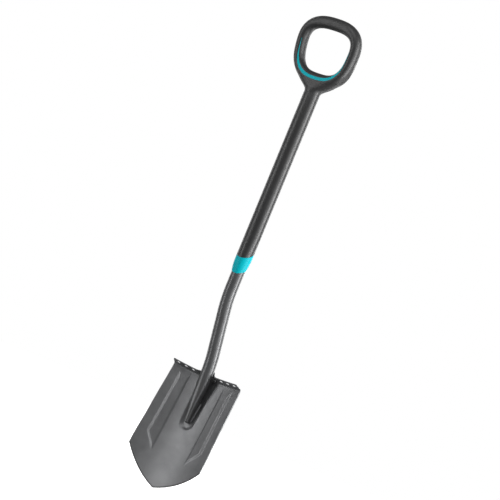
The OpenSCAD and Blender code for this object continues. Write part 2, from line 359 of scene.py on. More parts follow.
blade_coat = coated_steel("blade_coat", scaled(STEEL_GREY, 1.85), 0.4, 0.5, painted_edge_shade=True)
tube_coat = coated_steel("tube_coat", STEEL_GREY, 0.33, 0.4)
weld_coat = weld_metal("weld_coat", scaled(STEEL_GREY, 1.8))
collar_plastic = moulded_plastic("collar_plastic", TEAL, 0.4, grain=0.4, specular=0.1)
inlay_plastic = moulded_plastic("inlay_plastic", TEAL, 0.4, grain=0.4, specular=0.1)
sleeve_plastic = moulded_plastic("sleeve_plastic", BLACK, 0.4, grain=0.07)
handle_plastic = moulded_plastic("handle_plastic", BLACK, 0.46, grain=0.1)
plug_plastic = moulded_plastic("plug_plastic", scaled(BLACK, 1.4), 0.5, grain=0.5)
screw_zinc = zinc_plate("screw_zinc")


# ---- blade ----------------------------------------------------------------------------------

TOP_LEAN = TIP_LEAN - BLADE_L / BOW_R
FOLD_GAP = TREAD_RISE - TOP_LEAN          # how far the tread is from square to the blade
BOW_Y = -BOW_R * cos(TIP_LEAN)            # centre of the blade's curve
BOW_Z = BOW_R * sin(TIP_LEAN)
FOLD_TOP = Vector((0, BOW_Y + BOW_R * cos(TOP_LEAN), BOW_Z - BOW_R * sin(TOP_LEAN)))
TREAD_DIR = Vector((0, -cos(TREAD_RISE), sin(TREAD_RISE)))
TREAD_UP = Vector((0, sin(TREAD_RISE), cos(TREAD_RISE)))
EXTRA_DISH = 3                            # more dish towards the sides, away from both ends
DISH_FROM = 20                            # it starts here and grows over the first of these two
DISH_LOW_OVER, DISH_TOP_OVER = 70, 90     # lengths, and runs out over the second below the fold
EDGE_BLEND = 3                            # the edge's own spacing is gone a third of the way up
FOLD_R = 5

# Pressed panels: x or l of each border, and how wide its sloping wall is
PANEL_IN, IN_WALL = 46, 3.5
PANEL_OUT_LOW, PANEL_OUT_TOP, OUT_WALL = 77, 73, 7.5
PANEL_LOW, LOW_WALL = 72, 6
PANEL_TOP, TOP_WALL = 263, 20
PANEL_CORNER = 108                        # l at which the slanted lower border meets the outer one
PANEL_NARROW = 252                        # l at which the panel has drawn in to PANEL_OUT_TOP
PANEL_H_IN, PANEL_H_OUT = 1.3, 2.6        # its height inside, and outside
PANEL_CROWN = 30                          # distance over which it rises from one to the other

# Trough for the tube's nose, with its half width at each l
TROUGH_HALF = [(162, 19.0), (190, 20.5), (220, 20.8), (256, 23)]
TROUGH_LOW = 162                          # below this its end is round
TROUGH_DEEP = 4.6
TROUGH_WALL = 8
TROUGH_FADE = 12                          # it runs out over this length below the folds
TROUGH_INTO, TROUGH_SIDE = 3, 4           # but only beside the notch, from this far inside it

# Treads
NOTCH_X = 17                              # where each tread starts beside the tube
LIP_W = 12                                # the sheet turns up there by LIP_H
LIP_H = 5.5
LIP_FALL = 0.55                           # share of that which is lost towards the front
TREAD_T = 1.6                             # the sheet is thinner past the fold
TREAD_CORNER = 5                          # radius of the front corners
TREAD_BLEND = 4                           # rows over which the fold runs into the trimmed tread
TRIM_START = 14                           # the outer ends are trimmed back in front of this
TRIM_SLOPE = 0.222
TRIM_ROUND = 0.7                          # share of the corner's rounding taken at the outer ends
HOLE_XS = [side * x for side in (-1, 1) for x in (39, 58.5, 78)]
HOLE_ROW = 0.55                           # place of the holes as a share of the tread's width
HOLE_R = 4.3
HOLE_CLEAR = 0.9                          # faces this near a hole are left out
RIM_R = 6.2
RIM_H = 0.6
RIM_SIDES = 40
RIM_LOW = -TREAD_T - 0.02                 # level with the tread's underside
# radius and height above the tread's top of each ring of a rim
RIM_PROFILE = [(HOLE_R + 0.3, RIM_LOW), (HOLE_R, RIM_LOW + 0.3), (HOLE_R, -0.6), (HOLE_R + 0.25, -0.1),
               (HOLE_R + 0.6, 0.35), (HOLE_R + 0.95, RIM_H), (HOLE_R + 1.2, RIM_H),
               (RIM_R - 0.3, 0.15), (RIM_R, -0.2), (RIM_R, RIM_LOW)]

# Tongue behind the tube
TONGUE_EDGE_H = 4                         # its height at its edges
TONGUE_H = 20                             # and how much higher it is in the middle
TONGUE_LEAN = 20                          # height over which it leans in to the tube
TONGUE_GAP = 1                            # distance left to the tube
TONGUE_BACK = 9.0                         # least distance it leans in to, behind the tube's axis

# Cutting edge
# width of the painted shade along the cutting edge
EDGE_SHADE_W = 2.2
EDGE_SHARE = 0.5                          # thickness left at the edge, as a share of the sheet's
EDGE_TAPER = 9                            # distance from the edge over which the sheet thins
SOFT_EDGE = 0.3

MIDDLE_COLUMNS = 26
SIDE_COLUMNS = 58
BLADE_ROWS = 190
FOLD_ROWS = 8
TREAD_ROWS = 18
TONGUE_ROWS = 14


def panel_height(x, l):
    """Height of the pressed panel on either side: a narrow inner wall and a broad outer bevel."""
    border = mix(PANEL_OUT_LOW, PANEL_OUT_TOP, clamp((l - PANEL_CORNER) / (PANEL_NARROW - PANEL_CORNER)))
    run, rise = PANEL_OUT_LOW - PANEL_IN, PANEL_CORNER - PANEL_LOW
    over_low = ((l - PANEL_LOW) * run - (x - PANEL_IN) * rise) / hypot(run, rise)
    height = mix(PANEL_H_IN, PANEL_H_OUT, clamp((x - PANEL_IN) / PANEL_CROWN))
    return height * min(ramp((x - PANEL_IN) / IN_WALL), ramp((border - x) / OUT_WALL),
                        ramp(over_low / LOW_WALL), ramp((PANEL_TOP - l) / TOP_WALL))


def trough_depth(x, l, l_end):
    """Depth of the groove under the tube's nose, with sloping walls and a round lower end."""
    from_middle = hypot(x, TROUGH_LOW - l) if l < TROUGH_LOW else x
    inside = through(TROUGH_HALF, l) - from_middle
    beside = smooth((x - NOTCH_X + TROUGH_INTO) / TROUGH_SIDE)
    fade = 1 - smooth((l - l_end + TROUGH_FADE) / TROUGH_FADE) * beside
    return TROUGH_DEEP * ramp(inside / TROUGH_WALL) * fade


def dish_point(x, l, forward=0.0):
    """Point of the blade's front face, at x across and l along it, moved forward by some."""
    lean = TIP_LEAN - l / BOW_R
    along = smooth((l - DISH_FROM) / DISH_LOW_OVER) * smooth((BLADE_L - l) / DISH_TOP_OVER)
    r = BOW_R - x * x / (2 * DISH_R) - forward - EXTRA_DISH * along * (x / HALF_LOW) ** 2
    return Vector((x, BOW_Y + r * cos(lean), BOW_Z - r * sin(lean)))


def cutting_edge(u):
    """Point (x, l) of the convex lower edge, from the tip at u = 0 to the corner at u = 1."""
    bulge = 4 * EDGE_BULGE * u * (1 - u) / hypot(HALF_LOW, CORNER_L)
    return HALF_LOW * u + bulge * CORNER_L, CORNER_L * u - bulge * HALF_LOW


def fold_at(x):
    """Length along the blade at which its front face meets the tread's underside."""
    return BLADE_L + x * x / (2 * DISH_R) * tan(FOLD_GAP) - TREAD_T / cos(FOLD_GAP)


def blade_columns():
    """Places across the sheet as shares of its half width, with one at each side of the notch."""
    notch = NOTCH_X / HALF_TOP
    side = [notch + (1 - notch) * i / SIDE_COLUMNS for i in range(SIDE_COLUMNS + 1)]
    middle = [notch * (2 * i / MIDDLE_COLUMNS - 1) for i in range(1, MIDDLE_COLUMNS)]
    return [-u for u in reversed(side)] + middle + side


def blade_face_point(u, t, l_end):
    """Point of the pressed front face in column u, from the cutting edge at t = 0 to l_end."""
    x_low, l_low = cutting_edge(abs(u))
    l = mix(l_low, l_end, t)
    half = mix(HALF_LOW, HALF_TOP, clamp((l - CORNER_L) / (BLADE_L - CORNER_L)))
    x = mix(x_low, abs(u) * half, clamp(t * EDGE_BLEND))
    point = dish_point(x, l, panel_height(x, l) - trough_depth(x, l, l_end))
    point.x *= 1 if u >= 0 else -1
    return point


def lip_height(x, s=0.0):
    """How far the tread's sheet turns up beside the tube, at s in front of the fold."""
    return LIP_H * (1 - LIP_FALL * smooth(s / TREAD_W)) * clamp(1 - (abs(x) - NOTCH_X) / LIP_W) ** 2


def tread_place(x, s):
    """Point in the plane of the tread's top, at s in front of the curved line of the fold."""
    return Vector((x, FOLD_TOP.y, FOLD_TOP.z)) + (x * x / (2 * DISH_R) + s) * TREAD_DIR


def tread_point(x, s):
    """Point of the tread's underside at s in front of the fold, with its ends trimmed and rounded."""
    front = clamp((s - TREAD_W + TREAD_CORNER) / TREAD_CORNER)
    rounding = TREAD_CORNER * (1 - sqrt(1 - front * front))
    trim = TRIM_SLOPE * max(0, x * x / (2 * DISH_R) + s - TRIM_START)
    outer = HALF_TOP - trim - TRIM_ROUND * rounding
    share = (abs(x) - NOTCH_X) / (HALF_TOP - NOTCH_X)
    x_trim = mix(NOTCH_X + rounding, outer, share) * (1 if x >= 0 else -1)
    return tread_place(x_trim, s) + (lip_height(x_trim, s) - TREAD_T) * TREAD_UP


def fold_points(u):
    """Points up one column from the end of the blade's face round the fold and along the tread."""
    x = u * HALF_TOP
    fold = dish_point(x, fold_at(x))
    lean = TIP_LEAN - fold_at(x) / BOW_R
    up = Vector((0, sin(lean), cos(lean)))
    turn = acos(up.dot(TREAD_DIR))
    inward = (TREAD_DIR - up.dot(TREAD_DIR) * up).normalized()
    tangent = FOLD_R * tan(turn / 2)
    points = []
    for i in range(1, FOLD_ROWS + 1):
        a = turn * i / FOLD_ROWS
        bend = fold - tangent * up + FOLD_R * (sin(a) * up + (1 - cos(a)) * inward)
        points.append(bend + lip_height(x) * smooth(i / FOLD_ROWS) * TREAD_UP)
    last = points[-1]
    for i in range(1, TREAD_ROWS + 1):
        s = mix(tangent, TREAD_W, i / TREAD_ROWS)
        straight_on = last + (s - tangent) * TREAD_DIR
        points.append(mix(straight_on, tread_point(x, s), smooth(i / TREAD_BLEND)))
    return points


def tongue_points(u, start):
    """Points up one middle column where the sheet carries on behind the tube and closes round it."""
    x = u * HALF_TOP
    height = TONGUE_EDGE_H + TONGUE_H * max(0.0, 1 - (abs(x) / NOTCH_X) ** 3) ** 0.6
    behind_tube = sqrt(max(0.0, (TUBE_R + TONGUE_GAP) ** 2 - x * x))
    hug = SHAFT_Y + NOSE_Y + max(TONGUE_BACK, behind_tube)
    points = []
    for i in range(1, TONGUE_ROWS + 1):
        up = height * i / TONGUE_ROWS
        y = mix(start.y, min(start.y, hug), smooth(up / TONGUE_LEAN))
        points.append(Vector((x, y, start.z + up)))
    return points


def rim(centre):
    """Skin of a raised collar round one hole, its axis square to the tread."""
    rings = []
    for r, h in RIM_PROFILE:
        rings.append([centre + Vector((r * cos(b), 0, 0)) - r * sin(b) * TREAD_DIR + h * TREAD_UP
                      for b in around(RIM_SIDES)])
    return loft(rings, loop=True)


def sheet_points(columns):
    """Points of the sheet, and the number of each by row and column in the blade and the tongue."""
    notch = NOTCH_X / HALF_TOP
    close = 1e-6
    points, grid, tongue = [], {}, {}
    for j, u in enumerate(columns):
        l_end = fold_at(u * HALF_TOP) - FOLD_R * tan((pi / 2 - FOLD_GAP) / 2)
        column = [blade_face_point(u, i / BLADE_ROWS, l_end) for i in range(BLADE_ROWS + 1)]
        if abs(u) > notch - close:
            column += fold_points(u)
        for i, p in enumerate(column):
            grid[i, j] = len(points)
            points.append(p)
        if abs(u) < notch + close:
            tongue[0, j] = grid[BLADE_ROWS, j]
            for i, p in enumerate(tongue_points(u, column[BLADE_ROWS]), 1):
                tongue[i, j] = len(points)
                points.append(p)
    return points, grid, tongue


def sheet_faces(points, grid, tongue):
    """Four-sided faces between the points of both grids, left open over the holes."""
    centres = [tread_place(x, HOLE_ROW * TREAD_W) - TREAD_T * TREAD_UP for x in HOLE_XS]
    faces = []
    for cells in (grid, tongue):
        for i, j in cells:
            corners = [(i, j), (i, j + 1), (i + 1, j + 1), (i + 1, j)]
            if any(c not in cells for c in corners):
                continue
            middle = sum((points[cells[c]] for c in corners), Vector()) / 4
            in_tread = cells is grid and i > BLADE_ROWS
            if in_tread and min((middle - c).length for c in centres) < HOLE_R + HOLE_CLEAR:
                continue
            faces.append([cells[c] for c in corners])
    return faces


def mark_edge(blade, columns, grid):
    """Weights for the sheet's thickness, thin at the cutting edge, and the mask of the painted shade
    along that edge.
    """
    thickness = blade.vertex_groups.new(name="thickness")
    thickness.add(list(range(len(blade.data.vertices))), 1, "REPLACE")
    edge_shade_mask = blade.data.attributes.new("edge_shade_mask", "FLOAT", "POINT")
    for (i, j), k in grid.items():
        from_edge = i / BLADE_ROWS * (BLADE_L - cutting_edge(abs(columns[j]))[1])
        share = mix(1, TREAD_T / SHEET_T, clamp((i - BLADE_ROWS) / FOLD_ROWS))
        thickness.add([k], share * mix(EDGE_SHARE, 1, smooth(from_edge / EDGE_TAPER)), "REPLACE")
        # painted shade: 1 at the cutting edge, fading out over the next widths
        edge_shade_mask.data[k].value = 1 - smooth((from_edge - EDGE_SHADE_W) / EDGE_SHADE_W)
    return thickness


def thicken(blade, thickness):
    """Gives the face its thickness towards the back, with softened edges."""
    sheet = blade.modifiers.new("sheet", "SOLIDIFY")
    sheet.thickness = SHEET_T * MM
    sheet.offset = -1
    sheet.vertex_group = thickness.name
    edge = blade.modifiers.new("edge", "BEVEL")
    edge.width = SOFT_EDGE * MM
    edge.segments = 2
    edge.limit_method = "ANGLE"
    edge.angle_limit = radians(55)
    apply_modifiers(blade)


def add_rims(blade):
    """Sets a rim into each opening that was left in the treads."""
    bm = bmesh.new()
    bm.from_mesh(blade.data)
    for x in HOLE_XS:
        ring = make_object("rim", *rim(tread_place(x, HOLE_ROW * TREAD_W)))
        bm.from_mesh(ring.data)
        bpy.data.objects.remove(ring)
    bm.to_mesh(blade.data)
    bm.free()


def make_blade():
    columns = blade_columns()
    points, grid, tongue = sheet_points(columns)
    blade = make_object("blade_pressing", points, sheet_faces(points, grid, tongue))
    thicken(blade, mark_edge(blade, columns, grid))
    add_rims(blade)
    shade(blade, 40)
    return finish_piece(blade, blade_coat, "blade_coat", "blade")


# ---- shaft ----------------------------------------------------------------------------------

BEND_Y = CRANK_R * (1 - cos(CRANK_A))
BEND_Z = CRANK_R * sin(CRANK_A)
NOSE_Y = 2 * BEND_Y + CRANK_L * sin(CRANK_A)
NOSE_TOP_Z = CRANK_Z - 2 * BEND_Z - CRANK_L * cos(CRANK_A)
NOSE_LOW_HALF = 5                         # half width and depth of the nose at its lower end
NOSE_LOW_DEEP = 7.25
NOSE_SHIFT = -0.4
NOSE_CLOSE = 0.965                        # share of its length at which its end starts to close
NOSE_END = 0.03                           # share of its section left at the very end
NOSE_SQUARE = 0.72                        # power of its section, squarer than a circle's 1
NOSE_SQUARE_AT = 0.625                    # share of its length at which it is that square
NOSE_EASE = 1.5                           # rings stand closer together towards the end
TUBE_SIDES = 64
BEND_RINGS = 18
NOSE_RINGS = 44

WELD_L = 48
WELD_LOW = 3                              # height of its lower end above the nose's
WELD_R_LOW, WELD_R_TOP = 2.3, 3.3
WELD_X_LOW, WELD_X_TOP = 5.2, 8.6
WELD_SUNK_LOW, WELD_SUNK_TOP = 1.2, 2.2
WELD_FLOOR = 4.3                          # depth of the trough's floor under the beads
WELD_END = 0.06                           # share of its section left at its ends
RIPPLE_L = 2.4
RIPPLE_H = 0.22
WELD_STEPS = 120
WELD_SIDES = 20


def tube_ring(y, z, lean):
    """Ring of the round tube at y behind the shaft's axis, its plane leaned by some."""
    return [(TUBE_R * cos(b), SHAFT_Y + y + TUBE_R * sin(b) * cos(lean), z + TUBE_R * sin(b) * sin(lean))
            for b in around(TUBE_SIDES)]


def nose_ring(t):
    """Ring of the pressed nose, from the round tube at t = 0 to its narrow closed end at t = 1."""
    closing = clamp((t - NOSE_CLOSE) / (1 - NOSE_CLOSE))
    size = mix(NOSE_END, 1, sqrt(max(0.0, 1 - closing * closing)))
    half = size * mix(NOSE_LOW_HALF, TUBE_R, 0.5 + 0.5 * cos(pi * t))
    deep = size * mix(TUBE_R, NOSE_LOW_DEEP, t)
    power = mix(1, NOSE_SQUARE, smooth(t / NOSE_SQUARE_AT))
    middle_y = SHAFT_Y + NOSE_Y + NOSE_SHIFT * t
    return [(half * signed_pow(cos(b), power), middle_y + deep * signed_pow(sin(b), power),
             NOSE_TOP_Z - NOSE_L * t) for b in around(TUBE_SIDES)]


def make_tube():
    """Straight tube, both bends of the crank and the nose, from the top down."""
    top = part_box("shaft_tube")[1].z / MM
    rings = [tube_ring(0, z, 0) for z in (top, SLEEVE_Z, mix(SLEEVE_Z, CRANK_Z, 0.5))]
    for i in range(BEND_RINGS + 1):
        a = CRANK_A * i / BEND_RINGS
        rings.append(tube_ring(CRANK_R * (1 - cos(a)), CRANK_Z - CRANK_R * sin(a), a))
    for i in range(BEND_RINGS, -1, -1):
        a = CRANK_A * i / BEND_RINGS
        rings.append(tube_ring(NOSE_Y - CRANK_R * (1 - cos(a)), NOSE_TOP_Z + CRANK_R * sin(a), a))
    for i in range(1, NOSE_RINGS + 1):
        rings.append(nose_ring(1 - (1 - i / NOSE_RINGS) ** NOSE_EASE))
    tube = make_closed("tube", loft(rings), 50)
    return finish_piece(tube, tube_coat, "tube_coat", "shaft_tube")


def trough_floor(z):
    """The trough's floor at a height above the tip, as a place along Y."""
    return BOW_Y + sqrt(BOW_R ** 2 - (BOW_Z - z) ** 2) + WELD_FLOOR


def weld_bead(side):
    """One fillet weld beside the nose: a tapered bead built of overlapping ripples."""
    low_z = NOSE_TOP_Z - NOSE_L + WELD_LOW
    rings = []
    for i in range(WELD_STEPS + 1):
        t = i / WELD_STEPS
        z = low_z + WELD_L * t
        size = mix(WELD_END, 1, sqrt(max(0.0, 1 - (2 * t - 1) ** 8)))
        ripple = RIPPLE_H * abs(sin(pi * WELD_L * t / RIPPLE_L))
        r = (mix(WELD_R_LOW, WELD_R_TOP, t) + ripple) * size
        x = side * mix(WELD_X_LOW, WELD_X_TOP, t)
        y = trough_floor(z) - mix(WELD_SUNK_LOW, WELD_SUNK_TOP, t)
        rings.append([(x + r * cos(b), y + r * sin(b), z) for b in around(WELD_SIDES)])
    return loft(rings)


def make_welds():
    welds = make_closed("weld_beads", together(weld_bead(-1), weld_bead(1)), 80)
    return finish_piece(welds, weld_coat, "weld", "weld_seam")


# ---- collar and sleeve ----------------------------------------------------------------------

COLLAR_LOW_R = 15.2
COLLAR_FULL = 0.78                        # share of its length at which it is as wide as the sleeve
COLLAR_BULGE = 2.2
COLLAR_STEPS = 30
SLEEVE_ZS = (588, 640, 740, 840)          # rings down the plain length
ROUND_SIDES = 96


def slanted_ring(r, z):
    """Ring whose plane slants down towards the front, crossing the shaft's axis at z."""
    return [(r * cos(b), SHAFT_Y + r * sin(b), z + SLANT * r * sin(b)) for b in around(ROUND_SIDES)]


def flat_ring(r, z):
    """Ring square to the shaft's axis."""
    return [(r * cos(b), SHAFT_Y + r * sin(b), z) for b in around(ROUND_SIDES)]


def make_collar():
    """Barrel between two slanted ends, full at the top and drawn in to the tube below."""
    low_z = SLEEVE_Z - COLLAR_L
    rings = [slanted_ring(TUBE_R, low_z + 0.6), slanted_ring(TUBE_R + 0.4, low_z)]
    for i in range(COLLAR_STEPS + 1):
        t = i / COLLAR_STEPS
        r = mix(COLLAR_LOW_R, SLEEVE_R, 1 - (1 - clamp(t / COLLAR_FULL)) ** COLLAR_BULGE)
        rings.append(slanted_ring(r, mix(low_z + 0.4, SLEEVE_Z - 0.5, t)))
    rings += [slanted_ring(SLEEVE_R - 0.15, SLEEVE_Z - 0.18), slanted_ring(SLEEVE_R - 0.5, SLEEVE_Z),
              slanted_ring(TUBE_R, SLEEVE_Z)]
    collar = make_closed("collar_ring", loft(rings, loop=True), 50)
    return finish_piece(collar, collar_plastic, "collar_plastic", "collar")


def make_sleeve():
    """Plain sleeve with a slanted lower end, its edges softened."""
    low = [(TUBE_R, 0.05), (SLEEVE_R - 0.5, 0.05), (SLEEVE_R - 0.15, 0.22), (SLEEVE_R, 0.6)]
    rings = [slanted_ring(r, SLEEVE_Z + above) for r, above in low]
    rings += [flat_ring(SLEEVE_R, z) for z in (*SLEEVE_ZS, NECK_Z - 0.5)]
    rings += [flat_ring(SLEEVE_R - 0.2, NECK_Z), flat_ring(TUBE_R, NECK_Z)]
    sleeve = make_closed("sleeve_tube", loft(rings, loop=True), 50)
    return finish_piece(sleeve, sleeve_plastic, "sleeve_plastic", "shaft_sleeve")


# ---- handle ---------------------------------------------------------------------------------

SQUARE = 0.97                             # power of the bar's section, squarer than a circle's 1
LOW_BAR = 2.8                             # how much wider the lower bar is, on each side
LOW_BACK = 4                              # and how much deeper towards the back
LOW_FLARE = 5                             # how far its back spreads out into the web
LOOP_RINGS = 200
LOOP_SIDES = 44

# Neck, with heights above its lower end
NECK_LOW, NECK_HIGH = -12, 38
FLARE_FROM, FLARE_TO = 2, 10              # the round neck opens in a curve, then straight
FLARE_OUT = 4.6                           # how far it has opened by then
FLARE_POWER = 1.6
FLAT_FROM, FLAT_OVER = 1, 24              # it turns from round to flat
LEAN_OVER = 20                            # and bends into the handle's lean
WEB_HALF = 55.5
WEB_POWER = 0.62
WEB_BACK, WEB_FRONT = 0.6, 0.47           # depth of the web to each side, as shares of the bar's
BACK_FLARE = 6                            # the web's back is wider by this
BACK_FROM, BACK_OVER = 4, 20
NECK_RINGS = 60

VOXEL = 0.85
SOFT_LOW = 4                              # heights between which the neck and the loop run together
SOFT_HIGH = 62
SOFT_NECK = 0.4                           # how much the round neck takes of the overall softening
JUNCTION_SOFT = (0.6, 40)                 # factor and repeats of each softening
OVERALL_SOFT = (0.5, 12)
RECESS_DEEP = 2.25
RECESS_GAP = 0.3


def loop_point(a):
    """Point (x, height) of the loop's middle line at angle a."""
    v = signed_pow(sin(a), LOOP_POWER)
    return Vector((LOOP_W * signed_pow(cos(a), LOOP_POWER) * (1 + LOOP_TAPER * v), LOOP_MID + LOOP_H * v))


def loop_normal(a):
    """Direction out of the loop at angle a."""
    d = loop_point(a + 0.01) - loop_point(a - 0.01)
    return Vector((d.y, -d.x)).normalized()


def bar_half(a):
    """Half the bar's width at angle a, more at the crossbar and at the lower bar."""
    thick = (CROSSBAR_W - BAR_W) / 2 * max(0.0, sin(a)) ** 2
    return BAR_W / 2 + thick + LOW_BAR * max(0.0, -sin(a)) ** 4


def leaned(x, height, back):
    """Point of the handle's own leaning frame, in the part's frame."""
    return Vector((x, SHAFT_Y + back * cos(LEAN) - height * sin(LEAN),
                   NECK_Z + height * cos(LEAN) + back * sin(LEAN)))


def handle_point(a, out, back):
    """Point at angle a of the loop, out from its middle line and back from its middle plane."""
    p = loop_point(a) + out * loop_normal(a)
    return leaned(p.x, p.y, back)


def loop_section(a, b):
    """Point of the bar's softly squared section at angle b: 0 is the outside and 90 the front."""
    back = BAR_DEPTH / 2
    if sin(b) < 0:
        back += LOW_BACK * smooth(0.5 - 0.9 * sin(a))
    flare = LOW_FLARE * smooth(-1.4 * sin(a)) * max(0.0, cos(b)) * smooth(-1.6 * sin(b))
    out = bar_half(a) * signed_pow(cos(b), SQUARE) + flare
    return handle_point(a, out, -back * signed_pow(sin(b), SQUARE))


def loop_skin():
    rings = []
    for i in range(LOOP_RINGS):
        a = 2 * pi * (i + 0.5) / LOOP_RINGS
        rings.append([loop_section(a, b) for b in around(LOOP_SIDES)])
    return loft(rings, loop=True)


def neck_half(h):
    """Half the neck's width at height h."""
    if h < FLARE_FROM:
        return SLEEVE_R
    if h < FLARE_TO:
        return SLEEVE_R + FLARE_OUT * ((h - FLARE_FROM) / (FLARE_TO - FLARE_FROM)) ** FLARE_POWER
    return mix(SLEEVE_R + FLARE_OUT, WEB_HALF, (h - FLARE_TO) / (NECK_HIGH - FLARE_TO))


def neck_ring(h):
    """Ring of the neck at height h: round below, and flat and squared where it meets the loop."""
    spread = smooth((h - FLAT_FROM) / FLAT_OVER)
    power = mix(1, WEB_POWER, spread)
    middle_y = SHAFT_Y - max(0.0, h) * sin(LEAN) * smooth(h / LEAN_OVER)
    ring = []
    for b in around(LOOP_SIDES * 2):
        deep = mix(SLEEVE_R, (WEB_BACK if sin(b) > 0 else WEB_FRONT) * BAR_DEPTH, spread)
        flare = BACK_FLARE * smooth((h - BACK_FROM) / BACK_OVER) * smooth(0.5 + 0.8 * sin(b))
        ring.append(((neck_half(h) + flare) * signed_pow(cos(b), power),
                     middle_y + deep * signed_pow(sin(b), power), NECK_Z + h))
    return ring


def neck_skin():
    """Round neck that spreads into a flat web and runs into the loop's lower bar."""
    return loft([neck_ring(mix(NECK_LOW, NECK_HIGH, i / NECK_RINGS)) for i in range(NECK_RINGS + 1)])


def fuse(handle):
    """Makes one closed skin of the loop and the neck, with a soft run from one into the other."""
    solid = handle.modifiers.new("solid", "REMESH")
    solid.mode = "VOXEL"
    solid.voxel_size = VOXEL * MM
    apply_modifiers(handle)
    junction = handle.vertex_groups.new(name="junction")
    overall = handle.vertex_groups.new(name="overall")
    for v in handle.data.vertices:
        h = v.co.z / MM - NECK_Z
        soft = smooth((h - SOFT_LOW) / 8) * smooth((SOFT_HIGH - h) / 20)
        junction.add([v.index], soft, "REPLACE")
        overall.add([v.index], mix(SOFT_NECK, 1, smooth((h + 4) / 6)), "REPLACE")
    for group, amount in ((junction, JUNCTION_SOFT), (overall, OVERALL_SOFT)):
        soften = handle.modifiers.new(group.name, "SMOOTH")
        soften.factor, soften.iterations = amount
        soften.vertex_group = group.name
    apply_modifiers(handle)


def cut_neck_flat(handle):
    """Cuts the neck off square where it meets the sleeve."""
    bm = bmesh.new()
    bm.from_mesh(handle.data)
    cut = bmesh.ops.bisect_plane(bm, geom=bm.verts[:] + bm.edges[:] + bm.faces[:],
                                 plane_co=(0, 0, NECK_Z * MM), plane_no=(0, 0, 1), clear_inner=True)
    open_edges = [e for e in cut["geom_cut"] if isinstance(e, bmesh.types.BMEdge)]
    bmesh.ops.edgeloop_fill(bm, edges=open_edges)
    bm.to_mesh(handle.data)
    bm.free()


def cut_screw_recess(handle):
    """Round pocket in the neck's back, as deep as the screw's head sits."""
    low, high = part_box("handle_screw")
    middle = (low + high) / 2
    radius = (high.x - low.x) / 2 + RECESS_GAP * MM
    bpy.ops.mesh.primitive_cylinder_add(vertices=64, radius=radius, depth=2 * RECESS_DEEP * MM,
                                        rotation=(pi / 2, 0, 0),
                                        location=(middle.x, (SHAFT_Y + SLEEVE_R) * MM, middle.z))
    tool = bpy.context.object
    pocket = handle.modifiers.new("pocket", "BOOLEAN")
    pocket.operation = "DIFFERENCE"
    pocket.object = tool
    pocket.solver = "EXACT"
    apply_modifiers(handle)
    bpy.data.objects.remove(tool)


def make_handle():
    handle = make_object("handle_grip", *together(loop_skin(), neck_skin()))
    outward(handle)
    fuse(handle)
    cut_neck_flat(handle)
    cut_screw_recess(handle)
    shade(handle, 60)
    return finish_piece(handle, handle_plastic, "handle_plastic", "handle_frame")


# ---- inlay ----------------------------------------------------------------------------------

INLAY_SPAN = radians(100)                 # reaches this far round the loop to either side
INLAY_W = 7.5
INLAY_SIDE_IN = 5.5                       # its middle inside the loop's, up the sides and at the bottom
INLAY_LOW_IN = 0.8
INLAY_FRONT = 0.46                        # and in front of it, as a share of the bar's depth
INLAY_TILT = 0.3                          # how much its width slopes, as a share of that depth
INLAY_RISE, INLAY_CROWN = 0.15, 0.45      # how proud it stands at its edges and in its middle
INLAY_SUNK = 1.2
INLAY_TIP = 0.05                          # share of its width left at its two tips
INLAY_RINGS = 150
INLAY_ACROSS = 10
INLAY_EVEN = 3                            # neighbours on each side that a ring is evened out over


def surface_row(tree, t):
    """Places and normals on the handle's skin across the inlay, at t from -1 to 1 along it."""
    a = radians(270) + INLAY_SPAN * t
    half = INLAY_W / 2 * max(INLAY_TIP, cos(pi / 2 * t))
    inside = mix(INLAY_SIDE_IN, INLAY_LOW_IN, max(0.0, -sin(a)) ** 2)
    middle = handle_point(a, -inside, -INLAY_FRONT * BAR_DEPTH)
    across = (handle_point(a, 0, 0) - handle_point(a, -bar_half(a), INLAY_TILT * BAR_DEPTH)).normalized()
    row = []
    for j in range(INLAY_ACROSS + 1):
        s = 2 * j / INLAY_ACROSS - 1
        hit, normal, _, _ = tree.find_nearest((middle + half * s * across) * MM)
        row.append((hit / MM, normal.normalized()))
    return row


def inlay_ring(rows):
    """Ring of the inlay from neighbouring rows: a crowned face and a sunk back."""
    outer, inner = [], []
    for j in range(INLAY_ACROSS + 1):
        s = 2 * j / INLAY_ACROSS - 1
        place = sum((row[j][0] for row in rows), Vector()) / len(rows)
        normal = sum((row[j][1] for row in rows), Vector()).normalized()
        outer.append(place + mix(INLAY_RISE, INLAY_CROWN, 1 - s ** 4) * normal)
        inner.append(place - INLAY_SUNK * normal)
    return outer + inner[::-1]


def make_inlay(handle):
    """Crescent let into the front of the loop, laid on the handle's own surface."""
    tree = BVHTree.FromPolygons([v.co.copy() for v in handle.data.vertices],
                                [tuple(p.vertices) for p in handle.data.polygons])
    rows = [surface_row(tree, 2 * i / INLAY_RINGS - 1) for i in range(INLAY_RINGS + 1)]
    rings = [inlay_ring(rows[max(0, i - INLAY_EVEN):i + INLAY_EVEN + 1]) for i in range(len(rows))]
    inlay = make_closed("handle_stripe", loft(rings), 45)
    return finish_piece(inlay, inlay_plastic, "inlay_plastic", "handle_inlay")


# ---- floor, light and camera ----------------------------------------------------------------

# in metres
FLOOR_R = 3.2
FLOOR_DROP = 0.001
ROOM_LIGHT = 0.27                         # strength of the even light on the spade
BACKDROP_LIGHT = 1.0
AIM = Vector((0, SHAFT_Y * MM, 0.56))
VIEW_YAW = radians(32)
VIEW_ROLL = radians(22.44)
VIEW_DISTANCE = 4.9
VIEW_HEIGHT = 0.43
LENS = 161.64
LENS_SHIFT = (0.0046, -0.0019)

LIGHT_AIM_Z = 0.55
SIDE_HEIGHT = LIGHT_AIM_Z - 0.05
SIDE_TALL = 4.2
# name, azimuth, distance, width, power: tall soft boxes round the spade
SIDE_BOXES = [("key_right", 105, 2.4, 0.9, 150), ("front_right", 74, 2.4, 0.7, 26),
              ("fill_left", -36, 2.4, 0.65, 43),
              ("rear_right", 175, 2.6, 0.7, 45), ("rear_left", 250, 2.6, 0.7, 28)]


